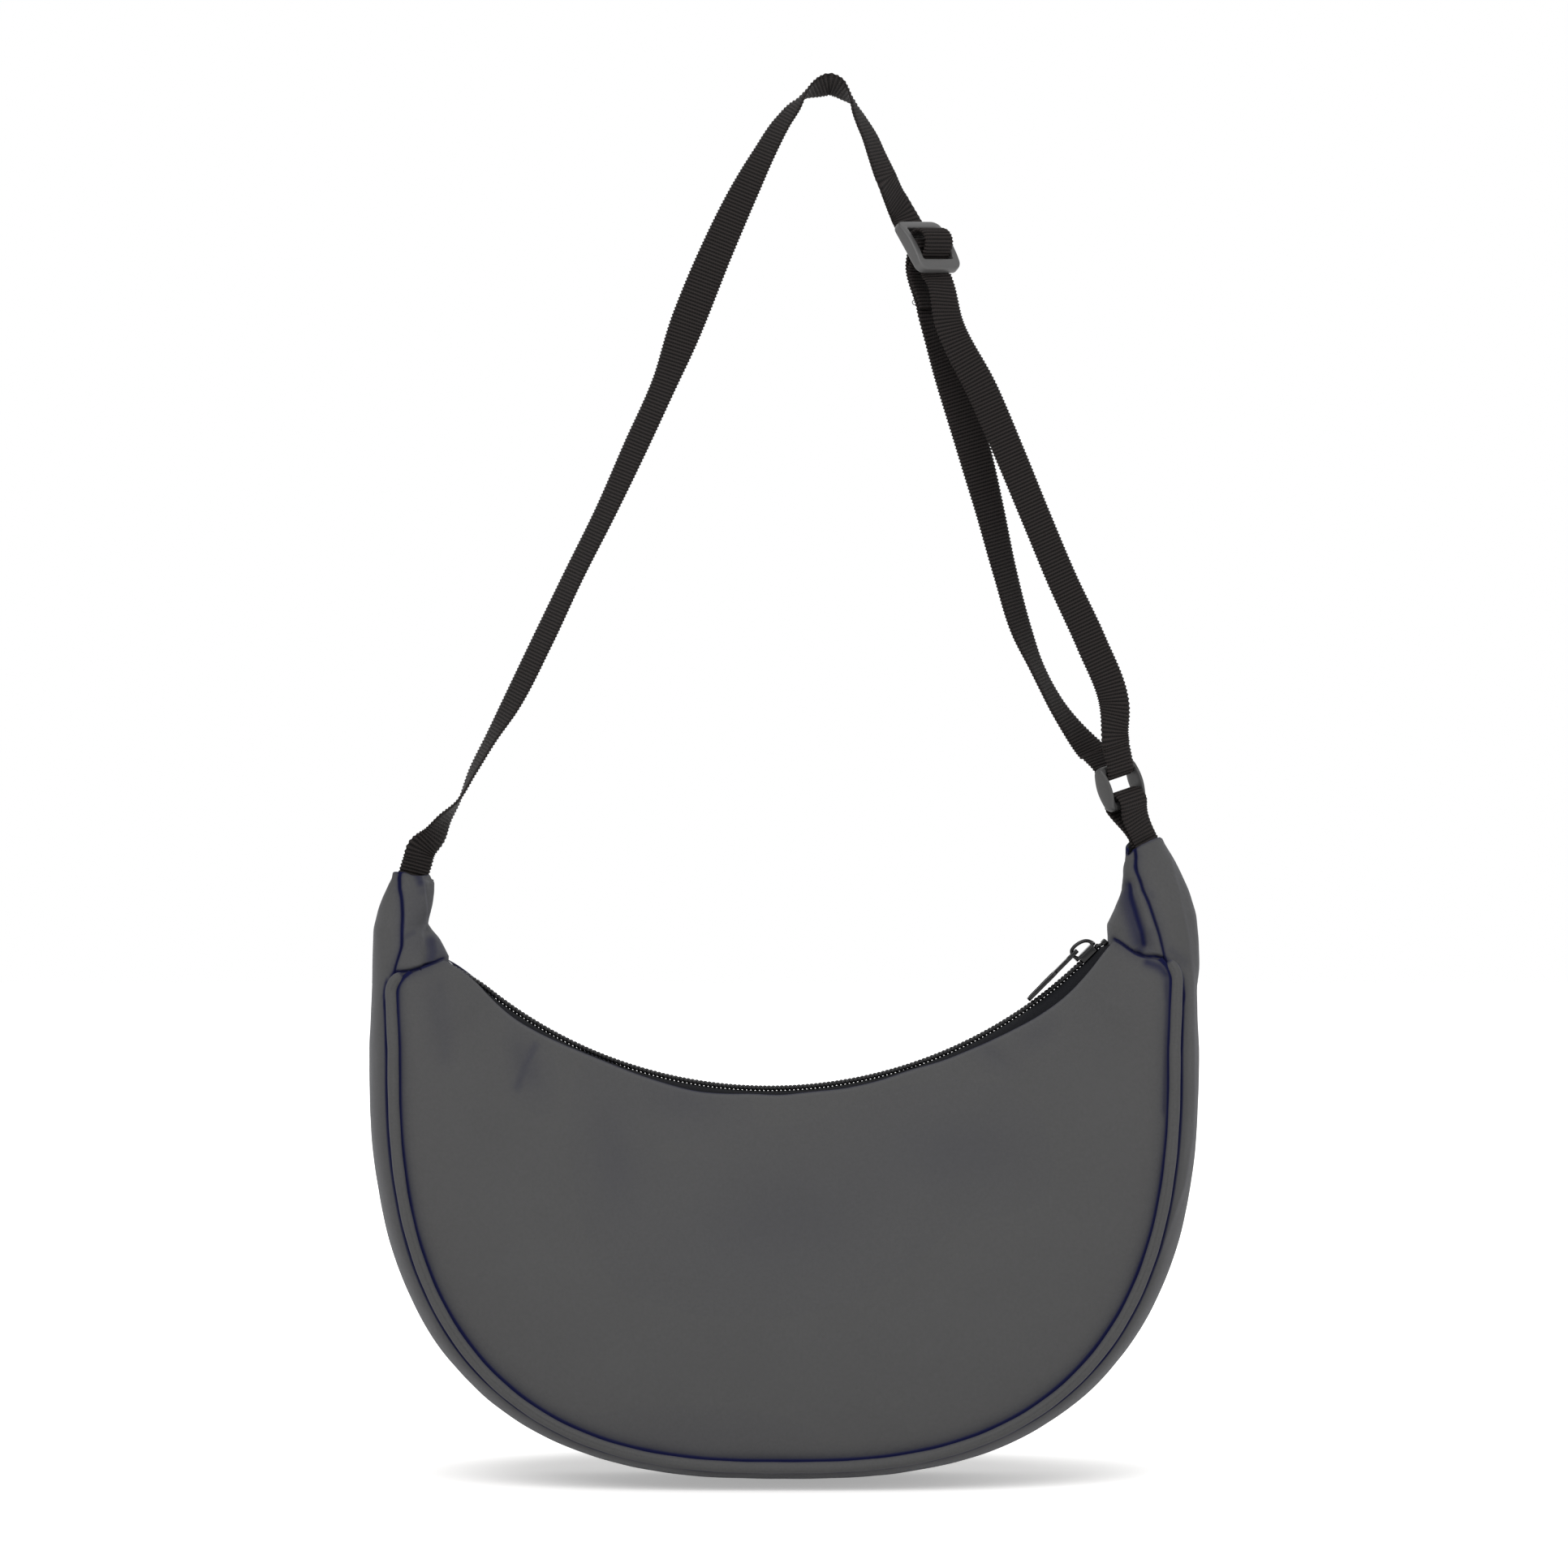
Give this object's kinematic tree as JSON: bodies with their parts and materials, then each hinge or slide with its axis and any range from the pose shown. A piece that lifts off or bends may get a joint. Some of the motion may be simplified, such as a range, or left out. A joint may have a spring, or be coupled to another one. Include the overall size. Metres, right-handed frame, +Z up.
{
  "type": "half moon shoulder bag",
  "caption": "Half moon shoulder bag with piped panels, a curved zip along its mouth, horn ends and a webbing strap with a tri-glide adjuster and a ring.",
  "frame": {"origin": "underside of the strap's crown, where the strap lies over what holds it", "axes": "+Z up along the hanging bag, +X to the wearer's view of the bag's right, -Y is the bag's front"},
  "size_m": [0.3408, 0.0734, 0.5763],
  "materials": {
    "bag_cloth": "matt woven cloth with a thin foam backing",
    "piping": "the same cloth over a cord",
    "lining": "plain lining cloth",
    "webbing": "ribbed black webbing",
    "zip_tape": "black woven tape",
    "zip_coil": "black nylon coil",
    "zip_metal": "glossy black enamel",
    "buckle_plastic": "satin dark grey moulded plastic"
  },
  "bodies": {
    "strap": {"strap_left_end": "webbing", "strap_main": "webbing", "strap_upper_strand": "webbing", "strap_front_strand": "webbing", "strap_rear_strand": "webbing", "ring_bight": "webbing", "ring_loop": "webbing"},
    "bag": {"front_panel": "bag_cloth", "back_panel": "bag_cloth", "gusset": "bag_cloth", "front_piping": "piping", "rear_piping": "piping", "left_horn_cap": "bag_cloth", "right_horn_cap": "bag_cloth", "front_lining": "lining", "back_lining": "lining", "gusset_lining": "lining", "zip_tape_front": "zip_tape", "zip_tape_rear": "zip_tape", "zip_coil_front": "zip_coil", "zip_coil_rear": "zip_coil", "zip_bottom_stop": "zip_metal", "zip_top_stops": "zip_metal", "strap_left_tail": "webbing", "ring_loop_tail": "webbing"},
    "slider": {"zip_slider": "zip_metal"},
    "pull": {"zip_pull": "zip_metal"},
    "glide": {"tri_glide": "buckle_plastic", "glide_bight": "webbing", "strap_end_loop": "webbing"},
    "ring": {"ring": "buckle_plastic"}
  },
  "joints": [
    {"name": "bag_swing", "type": "hinge", "parent": "strap", "child": "bag", "pos_m": [-0.17166, 0, -0.324], "axis": [0.9992, 0, 0.0392], "range_deg": [-90, 90], "deforming": ["strap_left_end", "ring_loop"]},
    {"name": "zip_travel", "type": "hinge", "parent": "bag", "child": "slider", "pos_m": [-0.0248, 0, -0.22959], "axis": [0, 1, 0], "range_deg": [0, 82]},
    {"name": "pull_swing", "type": "hinge", "parent": "slider", "child": "pull", "pos_m": [0.10119, 0, -0.35855], "axis": [0, 1, 0], "range_deg": [0, 125]},
    {"name": "strap_adjust", "type": "slide", "parent": "strap", "child": "glide", "axis": [0.3746, 0, -0.9272], "range_m": [-0.015, 0.12], "deforming": ["strap_upper_strand", "strap_front_strand", "strap_rear_strand"]},
    {"name": "ring_tilt", "type": "hinge", "parent": "strap", "child": "ring", "pos_m": [0.11698, 0, -0.28301], "axis": [0.7391, 0.6293, 0.2402], "range_deg": [-15, 15]}
  ]
}
